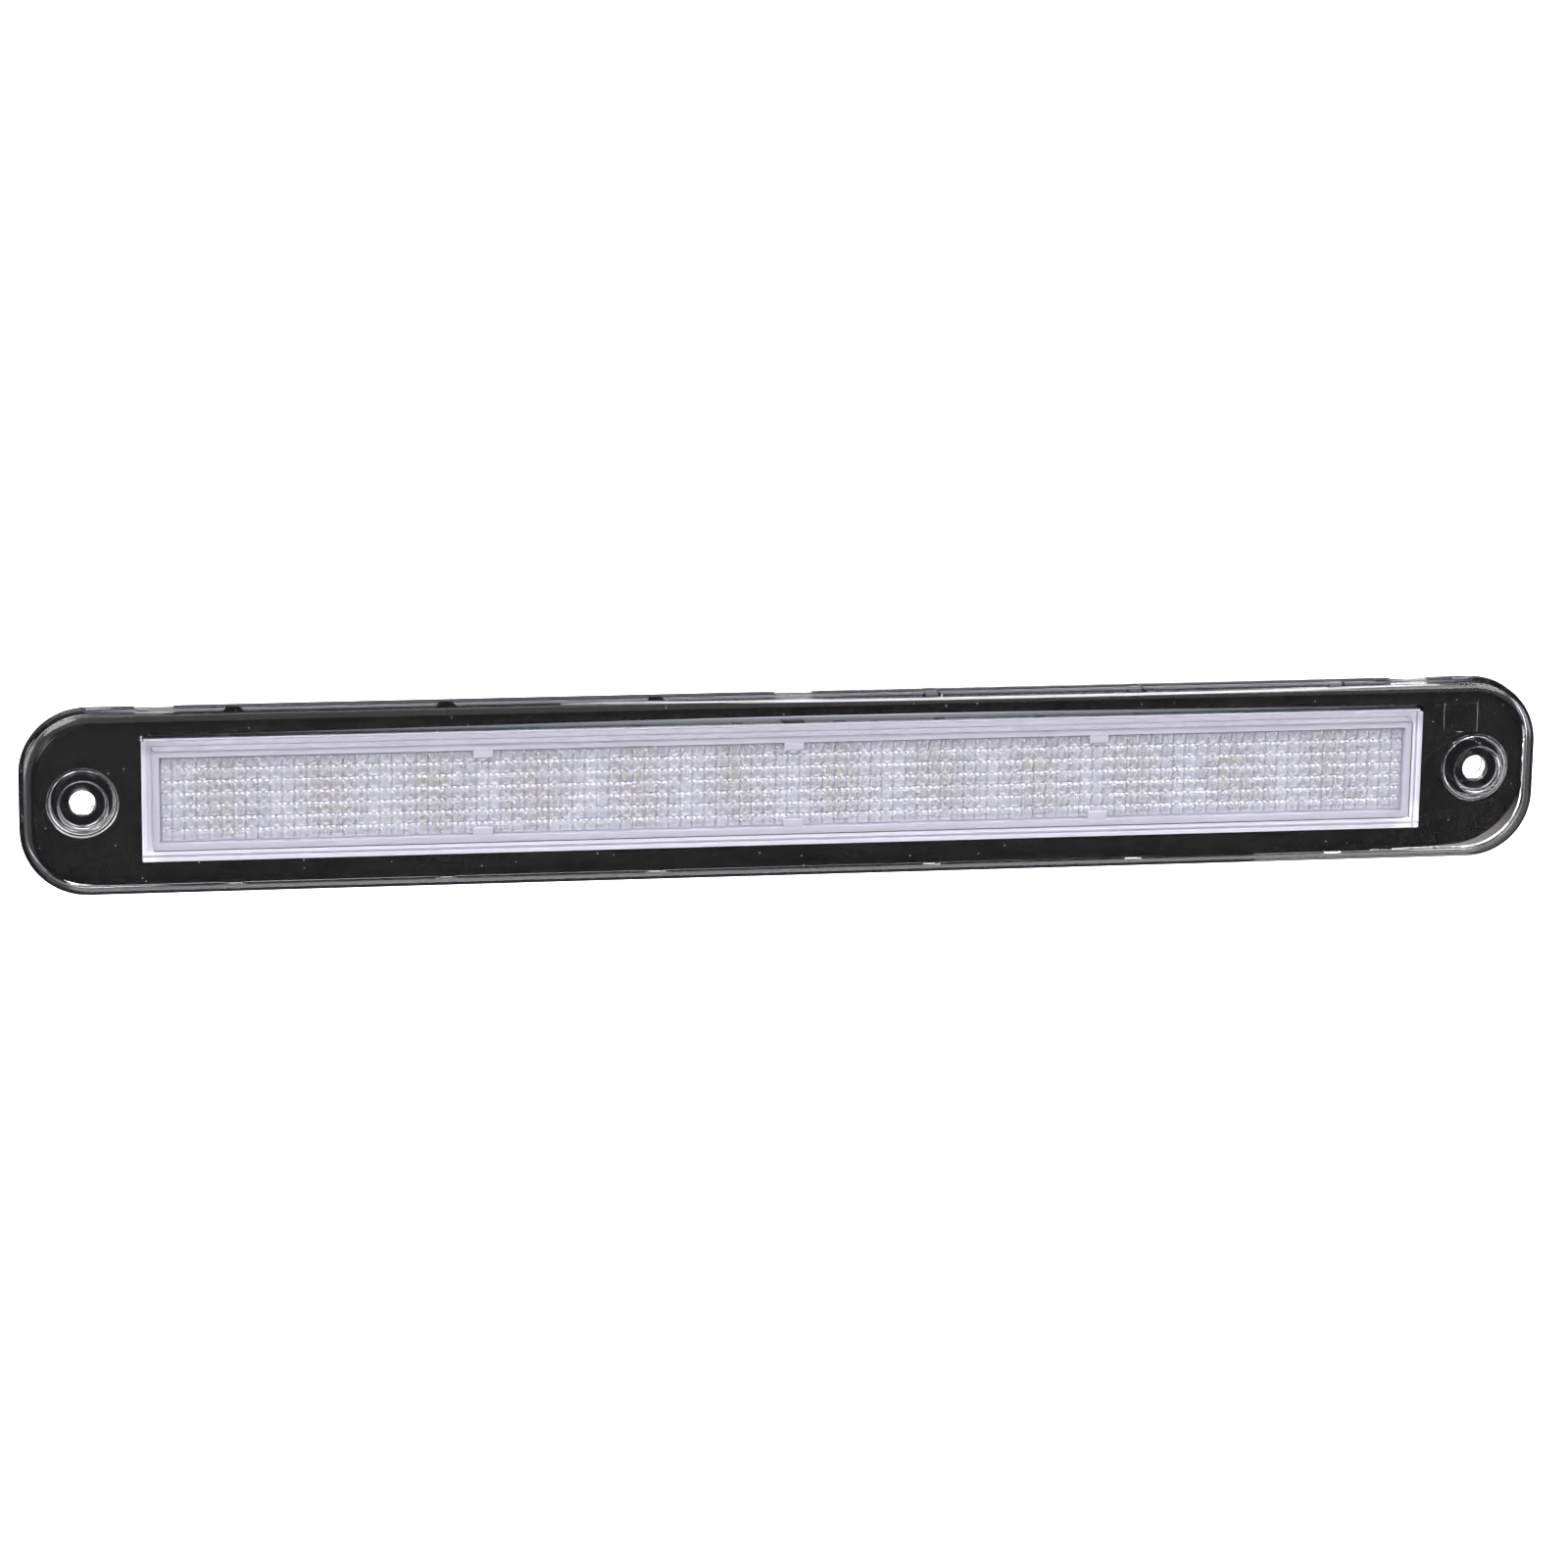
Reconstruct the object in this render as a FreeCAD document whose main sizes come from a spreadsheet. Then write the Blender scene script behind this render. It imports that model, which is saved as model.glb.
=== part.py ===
import FreeCAD, Part
import math
import os
import re
import Sketcher

# High-level LED brake lamp for a van's rear door, as one parametric document.
# Millimetres. +X runs along the lamp to the viewer's right, +Z is up and +Y runs
# into the vehicle. The origin lies midway between the two screw holes, on the
# plane that the rear ends of the screw bosses share and the door panel touches.

os.makedirs("parts", exist_ok=True)
doc = FreeCAD.newDocument("HighLevelBrakeLamp")

SIZES = [
    # outer lens, clear acrylic
    ("lens_length", 300.0, "lens, end to end"),
    ("lens_height", 36.4, "lens, bottom to top"),
    ("lens_corner", 13.0, "corner radius of the lens outline"),
    ("rim_rounding", 2.6, "rounding between the lens face and its skirt"),
    ("boss_depth", 6.5, "lens face to the mounting plane"),
    ("plate_thickness", 3.0, "lens face plate"),
    ("skirt_depth", 5.5, "lens face to the rear edge of the skirt"),
    ("skirt_wall", 1.6, "skirt wall"),
    ("screw_spacing", 276.0, "distance between the screw holes"),
    ("screw_radius", 2.5, "screw hole"),
    ("counterbore_radius", 4.6, "recess for the screw head"),
    ("counterbore_depth", 2.0, "depth of that recess"),
    ("boss_radius", 6.1, "boss around each screw hole"),
    ("window_length", 253.5, "light window, outside of the collar"),
    ("window_height", 23.8, "light window, outside of the collar"),
    ("collar_wall", 2.0, "wall of the collar behind the window"),
    ("collar_depth", 9.5, "lens face to the rear edge of the collar"),
    ("notch_width", 7.4, "notches in the top of the skirt"),
    ("notch_depth", 1.6, "depth of the notches from the skirt's rear edge"),
    ("notch_pitch", 124.0, "distance from notch to notch"),
    ("lug_width", 4.6, "gasket lugs inside the skirt, at the plate"),
    ("lug_tip", 2.4, "gasket lugs, at their rear end"),
    ("lug_reach", 2.1, "length of the lugs from the plate"),
    ("lug_thickness", 0.35, "height of the lugs off the skirt"),
    ("lug_first", 27.3, "first lug from the middle"),
    ("lug_pitch", 40.85, "distance from lug to lug"),
    ("mark_width", 7.1, "mould-date frame behind the face plate"),
    ("mark_height", 6.0, "mould-date frame"),
    ("mark_line", 0.25, "line width of the frame"),
    ("mark_depth", 0.15, "depth of the engraved line"),
    ("mark_across", 134.4, "middle of the frame from the lamp's middle"),
    ("mark_up", 10.5, "middle of the frame above the screw line"),
    # foam gasket
    ("foam_thickness", 4.5, "free thickness of the foam"),
    ("foam_end_inset", 3.0, "lens end to the foam's edge"),
    ("foam_side_inset", 2.05, "lens top or bottom to the foam's edge"),
    ("foam_corner", 11.5, "corner radius of the foam"),
    ("foam_screw_radius", 7.1, "punched hole around each screw boss"),
    ("foam_window_gap", 0.25, "foam to the collar, all round"),
    ("foam_top_slack", 1.0, "extra height of the foam's window at the top"),
    # housing, grey ABS box welded to the collar
    ("housing_back", 18.0, "mounting plane to the outside of the back wall"),
    ("housing_wall", 2.0, "walls of the housing"),
    ("housing_rounding", 1.5, "rounding of the housing's rear edges"),
    ("rear_rib_count", 8, "stiffening ribs across the back wall"),
    ("rear_rib_pitch", 30.0, "distance from rib to rib"),
    ("rear_rib_width", 1.2, "width of a rib"),
    ("rear_rib_height", 1.0, "height of a rib off the back wall"),
    ("standoff_radius", 2.5, "posts that carry the circuit board"),
    ("screw_near", 60.0, "inner board screws from the middle"),
    ("screw_far", 118.0, "outer board screws from the middle"),
    # optic frame, inner optic and reflector
    ("fit_gap", 0.2, "clearance of the inner pieces in the collar"),
    ("optic_border", 1.4, "inside of the collar to the pillow field, all round"),
    ("optic_gap", 0.1, "clearance of the inner optic in its frame"),
    ("frame_gap", 0.4, "back of the face plate to the front of the optic frame"),
    ("frame_depth", 3.0, "front to back of the optic frame"),
    ("tab_thickness", 0.7, "retaining tabs of the optic frame"),
    ("tab_width", 3.8, "width of a tab"),
    ("tab_reach", 1.5, "overlap of a tab on the optic"),
    ("tab_pitch", 61.0, "distance from tab to tab"),
    ("rim_thickness", 1.2, "face plate of the reflector"),
    ("led_count", 12, "light-emitting diodes in the row"),
    ("led_pitch", 20.0, "distance from diode to diode"),
    ("cup_margin", 0.8, "rim left outside the cups, above and below"),
    ("cup_throat", 3.1, "radius of a cup at the diode"),
    ("cup_wall", 1.0, "wall of a cup"),
    ("cup_depth", 8.8, "mouth to throat"),
    ("peg_radius", 0.9, "pegs that rivet the reflector to the board"),
    ("peg_head_radius", 1.5, "melted head of a peg"),
    ("peg_head_height", 0.6, "height of that head"),
    ("peg_near", 20.0, "inner pegs from the middle"),
    ("peg_far", 100.0, "outer pegs from the middle"),
    # circuit board
    ("board_gap", 0.2, "reflector throat to the board"),
    ("board_end_gap", 1.75, "end of the circuit board to the end of the collar's inside"),
    ("board_side_gap", 0.8, "edge of the circuit board to the collar's inside"),
    ("board_thickness", 1.6, "circuit board"),
    ("board_corner", 1.0, "corner radius of the board"),
    ("hole_play", 0.15, "radial play of pegs, pins and screws in the board"),
    ("board_screw_radius", 1.0, "thread of a board screw"),
    ("board_screw_head", 1.9, "head radius of a board screw"),
    ("board_screw_cap", 1.3, "head height of a board screw"),
    ("board_screw_length", 6.0, "length of a board screw under its head"),
    ("package_width", 3.5, "diode package, along the lamp"),
    ("package_height", 2.8, "diode package, upwards"),
    ("package_depth", 1.9, "diode package, off the board"),
    ("dome_radius", 1.25, "clear dome on a diode"),
    # connector and vent
    ("socket_width", 15.0, "connector shroud, outside"),
    ("socket_height", 11.0, "connector shroud, outside"),
    ("socket_wall", 1.0, "wall of the shroud"),
    ("socket_length", 10.0, "length of the shroud behind the seal"),
    ("socket_floor", 1.5, "thickness of the shroud's floor"),
    ("neck_width", 12.0, "connector neck through the housing"),
    ("neck_height", 8.0, "connector neck through the housing"),
    ("neck_gap", 0.2, "clearance of the neck in the housing"),
    ("seal_thickness", 1.0, "flat seal under the shroud"),
    ("pin_width", 1.5, "contact pins"),
    ("pin_thickness", 0.8, "contact pins"),
    ("pin_pitch", 5.0, "distance between the pins"),
    ("pin_setback", 4.5, "shroud mouth to the pins' tips"),
    ("pin_tail", 1.0, "pin length in front of the board"),
    ("vent_across", 85.0, "vent plug from the middle"),
    ("vent_radius", 2.0, "vent hole in the back wall"),
    ("vent_cap_radius", 4.0, "cap of the vent plug"),
    ("vent_cap_height", 1.5, "height of that cap"),
    ("vent_bore", 0.9, "air passage in the plug"),
    ("membrane_radius", 1.4, "membrane in the plug"),
    ("membrane_thickness", 0.3, "membrane in the plug"),
]

sheet = doc.addObject("Spreadsheet::Sheet", "Sizes")
for row, (alias, size, meaning) in enumerate(SIZES, start=1):
    sheet.set(f"A{row}", meaning)
    sheet.set(f"B{row}", str(size))
    sheet.setAlias(f"B{row}", alias)
doc.recompute()
NAMES = {alias for alias, size, meaning in SIZES}

# Planes across the lamp, as distances along Y.
FACE = "(-boss_depth)"
PLATE_BACK = "(plate_thickness - boss_depth)"
SKIRT_BACK = "(skirt_depth - boss_depth)"
MOUNTING = "(0)"
COLLAR_BACK = "(collar_depth - boss_depth)"
BACK_WALL = "(housing_back - housing_wall)"
FRAME_FRONT = f"({PLATE_BACK} + frame_gap)"
TAB_BACK = f"({FRAME_FRONT} + tab_thickness)"
RIM_FRONT = f"({FRAME_FRONT} + frame_depth)"
THROAT = f"({RIM_FRONT} + cup_depth)"
BOARD_FRONT = f"({THROAT} + board_gap)"
BOARD_BACK = f"({BOARD_FRONT} + board_thickness)"
SEAL_BACK = "(housing_back + seal_thickness)"
MOUTH = f"({SEAL_BACK} + socket_length)"
INNER_LENGTH = "(window_length - 2 * collar_wall)"
INNER_HEIGHT = "(window_height - 2 * collar_wall)"
OPTIC_LENGTH = f"({INNER_LENGTH} - 2 * optic_border)"
OPTIC_HEIGHT = f"({INNER_HEIGHT} - 2 * optic_border)"
CUP_MOUTH = f"({INNER_HEIGHT} / 2 - fit_gap - cup_margin - cup_wall)"
BOARD_LENGTH = f"({INNER_LENGTH} - 2 * board_end_gap)"
BOARD_HEIGHT = f"({INNER_HEIGHT} - 2 * board_side_gap)"
LED_SPAN = "(led_pitch * (led_count - 1))"


def formula(text):
    """Turn plain size names into references to the sheet's cells."""
    return re.sub(r"[a-z_]+", lambda word: "Sizes." + word.group() if word.group() in NAMES
                  else word.group(), text)


def size(alias):
    return float(sheet.get(alias))


def new_body(label):
    body = doc.addObject("PartDesign::Body", label)
    body.Label = label
    return body


def plane_of(body, role):
    return next(item for item in body.Origin.OriginFeatures if item.Role == role)


def new_sketch(body, name, role="XZ_Plane", across="0", up="0", off="0"):
    """A sketch on one of the body's own planes, its origin moved by three formulas."""
    sketch = body.newObject("Sketcher::SketchObject", name)
    sketch.AttachmentSupport = (plane_of(body, role), [""])
    sketch.MapMode = "FlatFace"
    for letter, place in (("x", across), ("y", up), ("z", off)):
        sketch.setExpression(f"AttachmentOffset.Base.{letter}", formula(place))
    return sketch


def facing(body, name, depth, across="0", up="0"):
    """A sketch seen from the front, in the plane Y = depth."""
    return new_sketch(body, name, "XZ_Plane", across, up, f"-({depth})")


def bound(sketch, kind, arguments, guess, name, text):
    index = sketch.addConstraint(Sketcher.Constraint(kind, *arguments, guess))
    sketch.renameConstraint(index, name)
    sketch.setExpression(f"Constraints.{name}", formula(text))


def polygon(sketch, points):
    corners = [FreeCAD.Vector(x, y, 0) for x, y in points]
    lines = [sketch.addGeometry(Part.LineSegment(start, end))
             for start, end in zip(corners, corners[1:] + corners[:1])]
    for line, following in zip(lines, lines[1:] + lines[:1]):
        sketch.addConstraint(Sketcher.Constraint("Coincident", line, 2, following, 1))
    return lines


def rectangle(sketch, width, height, tag="outer", guess=4.0):
    """A rectangle centred on the sketch's origin."""
    low, right, high, left = polygon(sketch, [(-guess, -guess), (guess, -guess),
                                              (guess, guess), (-guess, guess)])
    for line in (low, high):
        sketch.addConstraint(Sketcher.Constraint("Horizontal", line))
    for line in (right, left):
        sketch.addConstraint(Sketcher.Constraint("Vertical", line))
    sketch.addConstraint(Sketcher.Constraint("Symmetric", low, 1, right, 2, -1, 1))
    bound(sketch, "DistanceX", (low, 1, low, 2), 2 * guess, tag + "_width", width)
    bound(sketch, "DistanceY", (right, 1, right, 2), 2 * guess, tag + "_height", height)


def disc(sketch, radius, tag="outer", guess=3.0):
    circle = sketch.addGeometry(Part.Circle(FreeCAD.Vector(), FreeCAD.Vector(0, 0, 1), guess))
    sketch.addConstraint(Sketcher.Constraint("Coincident", circle, 3, -1, 1))
    bound(sketch, "Radius", (circle,), guess, tag + "_radius", radius)


def pad(body, name, sketch, length):
    """Material from the sketch towards the front."""
    feature = body.newObject("PartDesign::Pad", name)
    feature.Profile = sketch
    feature.setExpression("Length", formula(length))
    return feature


def pocket(body, name, sketch, length):
    """A cut from the sketch towards the rear."""
    feature = body.newObject("PartDesign::Pocket", name)
    feature.Profile = sketch
    feature.setExpression("Length", formula(length))
    return feature


def block(body, name, front, back, width, height, across="0", up="0"):
    sketch = facing(body, name + "_outline", back, across, up)
    rectangle(sketch, width, height)
    return pad(body, name, sketch, f"({back}) - ({front})")


def ring(body, name, front, back, outer, inner):
    sketch = facing(body, name + "_outline", back)
    rectangle(sketch, *outer)
    rectangle(sketch, *inner, tag="inner", guess=2.0)
    return pad(body, name, sketch, f"({back}) - ({front})")


def opening(body, name, front, back, width, height, across="0", up="0"):
    sketch = facing(body, name + "_outline", front, across, up)
    rectangle(sketch, width, height)
    return pocket(body, name, sketch, f"({back}) - ({front})")


def post(body, name, front, back, radius, across="0", up="0"):
    sketch = facing(body, name + "_outline", back, across, up)
    disc(sketch, radius)
    return pad(body, name, sketch, f"({back}) - ({front})")


def bore(body, name, front, back, radius, across="0", up="0"):
    sketch = facing(body, name + "_outline", front, across, up)
    disc(sketch, radius)
    return pocket(body, name, sketch, f"({back}) - ({front})")


def repeat(body, feature, span, count):
    """Copies of a feature along +X, the first where it stands."""
    pattern = body.newObject("PartDesign::LinearPattern", feature.Name + "_row")
    pattern.Originals = [feature]
    profile = feature.Profile[0]
    pattern.Direction = (profile, ["H_Axis"])
    pattern.setExpression("Length", formula(span))
    pattern.setExpression("Occurrences", formula(count))
    body.Tip = pattern
    return pattern


def pair(body, feature, distance):
    """Two of a feature that stands at half the distance to the left."""
    return repeat(body, feature, distance, "2")


def picked(feature, wanted):
    return [f"Edge{number}" for number, edge in enumerate(feature.Shape.Edges, start=1)
            if wanted(edge)]


def runs_along_y(edge):
    start, end = edge.firstVertex().Point, edge.lastVertex().Point
    return abs(start.x - end.x) + abs(start.z - end.z) < 1e-6 and abs(start.y - end.y) > 1e-6


def lies_at(depth):
    return lambda edge: all(abs(vertex.Y - depth) < 1e-6 for vertex in edge.Vertexes)


def rounding(body, name, base, wanted, radius):
    doc.recompute()
    feature = body.newObject("PartDesign::Fillet", name)
    feature.Base = (base, picked(base, wanted))
    feature.setExpression("Radius", formula(radius))
    body.Tip = feature
    return feature


def build_outer_lens():
    """Tray of clear acrylic: face plate, skirt, screw bosses and the light window's collar."""
    body = new_body("outer_lens")
    block(body, "slab", FACE, SKIRT_BACK, "lens_length", "lens_height")
    tray = opening(body, "tray", PLATE_BACK, SKIRT_BACK,
                   "lens_length - 2 * skirt_wall", "lens_height - 2 * skirt_wall")

    def corner_at(across):
        return lambda edge: runs_along_y(edge) and abs(abs(edge.firstVertex().X) - across) < 1e-6

    half = size("lens_length") / 2
    inside = rounding(body, "tray_corners", tray, corner_at(half - size("skirt_wall")),
                      "lens_corner - skirt_wall")
    outline = rounding(body, "outline", inside, corner_at(half), "lens_corner")
    rounding(body, "rim", outline, lies_at(-size("boss_depth")), "rim_rounding")
    ring(body, "collar", PLATE_BACK, COLLAR_BACK,
         ("window_length", "window_height"), (INNER_LENGTH, INNER_HEIGHT))
    boss = post(body, "boss", PLATE_BACK, MOUNTING, "boss_radius", "-screw_spacing / 2")
    pair(body, boss, "screw_spacing")
    hole = bore(body, "screw_hole", FACE, MOUNTING, "screw_radius", "-screw_spacing / 2")
    pair(body, hole, "screw_spacing")
    seat = bore(body, "head_seat", FACE, f"{FACE} + counterbore_depth",
                "counterbore_radius", "-screw_spacing / 2")
    pair(body, seat, "screw_spacing")
    notch = opening(body, "notch", f"{SKIRT_BACK} - notch_depth", SKIRT_BACK,
                    "notch_width", "2 * skirt_wall", "-notch_pitch", "lens_height / 2")
    repeat(body, notch, "2 * notch_pitch", "3")
    build_gasket_lugs(body)
    mark = facing(body, "mark_outline", f"{PLATE_BACK} - mark_depth", "mark_across", "mark_up")
    rectangle(mark, "mark_width", "mark_height")
    rectangle(mark, "mark_width - 2 * mark_line", "mark_height - 2 * mark_line",
              tag="inner", guess=2.0)
    pocket(body, "mark", mark, "mark_depth")
    return body


def build_gasket_lugs(body):
    """Low tapering lugs inside the skirt, three to each side of the middle, top and bottom."""
    sketch = new_sketch(body, "lug_outline", "XY_Plane", "lug_first", PLATE_BACK,
                        "lens_height / 2 - skirt_wall - lug_thickness")
    base, slope, tip, other = polygon(sketch, [(-2, 0), (2, 0), (1, 2), (-1, 2)])
    sketch.addConstraint(Sketcher.Constraint("Horizontal", base))
    sketch.addConstraint(Sketcher.Constraint("Symmetric", base, 1, base, 2, -1, 1))
    sketch.addConstraint(Sketcher.Constraint("Symmetric", tip, 1, tip, 2, -2))
    bound(sketch, "DistanceX", (base, 1, base, 2), 4.0, "base_width", "lug_width")
    bound(sketch, "DistanceX", (tip, 2, tip, 1), 2.0, "tip_width", "lug_tip")
    bound(sketch, "DistanceY", (base, 2, tip, 1), 2.0, "reach", "lug_reach")
    lug = pad(body, "lug", sketch, "lug_thickness + skirt_wall / 2")
    rows = body.newObject("PartDesign::MultiTransform", "lugs")
    rows.Originals = [lug]
    row = body.newObject("PartDesign::LinearPattern", "lug_row")
    row.Direction = (sketch, ["H_Axis"])
    row.setExpression("Length", formula("2 * lug_pitch"))
    row.Occurrences = 3
    mirrors = []
    for name, role in (("lug_other_end", "YZ_Plane"), ("lug_bottom", "XY_Plane")):
        mirror = body.newObject("PartDesign::Mirrored", name)
        mirror.MirrorPlane = (plane_of(body, role), [""])
        mirrors.append(mirror)
    rows.Transformations = [row] + mirrors
    body.Tip = rows


def build_foam_gasket():
    """Die-cut ring of foam stuck to the back of the face plate."""
    body = new_body("foam_gasket")
    back = f"({PLATE_BACK} + foam_thickness)"
    sheet_pad = block(body, "blank", PLATE_BACK, back, "lens_length - 2 * foam_end_inset",
                      "lens_height - 2 * foam_side_inset")
    rounding(body, "blank_corners", sheet_pad, runs_along_y, "foam_corner")
    opening(body, "window", PLATE_BACK, back, "window_length + 2 * foam_window_gap",
            "window_height + 2 * foam_window_gap + foam_top_slack", "0", "foam_top_slack / 2")
    hole = bore(body, "boss_hole", PLATE_BACK, back, "foam_screw_radius", "-screw_spacing / 2")
    pair(body, hole, "screw_spacing")
    return body


def build_housing():
    """Box of moulded ABS behind the window, closed at the rear and welded to the collar."""
    body = new_body("housing")
    box = block(body, "box", COLLAR_BACK, "housing_back", "window_length", "window_height")
    rounding(body, "rear_edges", box, lies_at(size("housing_back")), "housing_rounding")
    opening(body, "hollow", COLLAR_BACK, BACK_WALL, "window_length - 2 * housing_wall",
            "window_height - 2 * housing_wall")
    rib = block(body, "rib", "housing_back - housing_rounding",
                "housing_back + rear_rib_height", "rear_rib_width",
                "window_height - 2 * housing_rounding",
                "-rear_rib_pitch * (rear_rib_count - 1) / 2")
    repeat(body, rib, "rear_rib_pitch * (rear_rib_count - 1)", "rear_rib_count")
    for name, across in (("near", "screw_near"), ("far", "screw_far")):
        standoff = post(body, "standoff_" + name, BOARD_BACK, BACK_WALL + " + housing_wall / 2",
                        "standoff_radius", "-" + across)
        pair(body, standoff, "2 * " + across)
        pilot = bore(body, "pilot_" + name, BOARD_BACK,
                     f"{BOARD_BACK} + board_screw_length - board_thickness + 0.5",
                     "board_screw_radius", "-" + across)
        pair(body, pilot, "2 * " + across)
    opening(body, "socket_hole", BACK_WALL, "housing_back + rear_rib_height",
            "neck_width + 2 * neck_gap", "neck_height + 2 * neck_gap")
    bore(body, "vent_hole", BACK_WALL, "housing_back + rear_rib_height",
         "vent_radius", "-vent_across")
    return body


def build_optic_frame():
    """Moulded frame behind the face plate that holds the inner optic with six tabs."""
    body = new_body("optic_frame")
    outer = (f"{INNER_LENGTH} - 2 * fit_gap", f"{INNER_HEIGHT} - 2 * fit_gap")
    ring(body, "border", FRAME_FRONT, RIM_FRONT, outer, (OPTIC_LENGTH, OPTIC_HEIGHT))
    for name, side in (("top", "1"), ("bottom", "-1")):
        tab = block(body, "tab_" + name, FRAME_FRONT, TAB_BACK, "tab_width",
                    "tab_reach + 0.5 * fit_gap",
                    "-tab_pitch", f"{side} * ({OPTIC_HEIGHT} / 2 - tab_reach / 2 + 0.25 * fit_gap)")
        repeat(body, tab, "2 * tab_pitch", "3")
    return body


def build_inner_optic():
    """Clear plate between the tabs and the reflector."""
    body = new_body("inner_optic")
    block(body, "plate", TAB_BACK, RIM_FRONT, f"{OPTIC_LENGTH} - 2 * optic_gap",
          f"{OPTIC_HEIGHT} - 2 * optic_gap")
    return body


def cup_profile(body, name, mouth, throat):
    """Half section of a cup about its own axis, bulging like a parabola."""
    sketch = new_sketch(body, name, "XY_Plane", f"-{LED_SPAN} / 2", RIM_FRONT)
    corners = [FreeCAD.Vector(x, y, 0) for x, y in ((0, 0), (7, 0), (3, 8), (0, 8))]
    front = sketch.addGeometry(Part.LineSegment(corners[0], corners[1]))
    flank = sketch.addGeometry(Part.Arc(corners[1], FreeCAD.Vector(5.8, 4.4, 0), corners[2]))
    rear = sketch.addGeometry(Part.LineSegment(corners[2], corners[3]))
    axis = sketch.addGeometry(Part.LineSegment(corners[3], corners[0]))
    for first, first_end, second, second_end in ((front, 2, flank, 1), (flank, 2, rear, 1),
                                                 (rear, 2, axis, 1), (axis, 2, front, 1)):
        sketch.addConstraint(Sketcher.Constraint("Coincident", first, first_end,
                                                 second, second_end))
    sketch.addConstraint(Sketcher.Constraint("Coincident", front, 1, -1, 1))
    for line in (front, rear):
        sketch.addConstraint(Sketcher.Constraint("Horizontal", line))
    sketch.addConstraint(Sketcher.Constraint("Vertical", axis))
    bound(sketch, "DistanceX", (front, 1, front, 2), 7.0, "mouth", mouth)
    bound(sketch, "DistanceX", (rear, 2, rear, 1), 3.0, "throat", throat)
    bound(sketch, "DistanceY", (front, 1, axis, 1), 8.0, "depth", "cup_depth")
    bound(sketch, "Radius", (flank,), 14.0, "flank", "1.6 * cup_depth")
    return sketch


def build_reflector():
    """Metallised moulding: a face plate with a row of thin cups, riveted to the board."""
    body = new_body("reflector")
    block(body, "rim", RIM_FRONT, f"{RIM_FRONT} + rim_thickness",
          f"{INNER_LENGTH} - 2 * fit_gap", f"{INNER_HEIGHT} - 2 * fit_gap")
    for name, kind, extra in (("cup", "PartDesign::Revolution", " + cup_wall"),
                              ("mirror", "PartDesign::Groove", "")):
        sketch = cup_profile(body, name + "_section", CUP_MOUTH + extra, "cup_throat" + extra)
        turned = body.newObject(kind, name)
        turned.Profile = sketch
        turned.ReferenceAxis = (sketch, ["V_Axis"])
        turned.Angle = 360
        repeat(body, turned, LED_SPAN, "led_count")
    for name, across in (("near", "peg_near"), ("far", "peg_far")):
        peg = post(body, "peg_" + name, f"{RIM_FRONT} + rim_thickness / 2", BOARD_BACK,
                   "peg_radius", "-" + across)
        pair(body, peg, "2 * " + across)
        head = post(body, "peg_head_" + name, BOARD_BACK, f"{BOARD_BACK} + peg_head_height",
                    "peg_head_radius", "-" + across)
        pair(body, head, "2 * " + across)
    return body


def build_circuit_board():
    """Glass-fibre board that carries the diodes and their driver parts."""
    body = new_body("circuit_board")
    blank = block(body, "blank", BOARD_FRONT, BOARD_BACK, BOARD_LENGTH, BOARD_HEIGHT)
    rounding(body, "corners", blank, runs_along_y, "board_corner")
    for name, radius, across in (("peg_near", "peg_radius", "peg_near"),
                                 ("peg_far", "peg_radius", "peg_far"),
                                 ("screw_near", "board_screw_radius", "screw_near"),
                                 ("screw_far", "board_screw_radius", "screw_far")):
        hole = bore(body, "hole_" + name, BOARD_FRONT, BOARD_BACK, radius + " + hole_play",
                    "-" + across)
        pair(body, hole, "2 * " + across)
    pin_hole = opening(body, "pin_hole", BOARD_FRONT, BOARD_BACK, "pin_width + 2 * hole_play",
                       "pin_thickness + 2 * hole_play", "-pin_pitch / 2")
    pair(body, pin_hole, "pin_pitch")
    return body


def build_led_bodies():
    """White diode packages in a row on the front of the board."""
    body = new_body("led_bodies")
    package = block(body, "package", f"{BOARD_FRONT} - package_depth", BOARD_FRONT,
                    "package_width", "package_height", f"-{LED_SPAN} / 2")
    repeat(body, package, LED_SPAN, "led_count")
    return body


def build_led_leads():
    """Tinned solder tabs at both ends of every diode package."""
    body = new_body("led_leads")
    for name, side in (("left", "-1"), ("right", "1")):
        lead = block(body, "lead_" + name, f"{BOARD_FRONT} - 0.5 * package_depth", BOARD_FRONT,
                     "0.2 * package_width", "0.6 * package_height",
                     f"-{LED_SPAN} / 2 + {side} * 0.6 * package_width")
        repeat(body, lead, LED_SPAN, "led_count")
    return body


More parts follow.
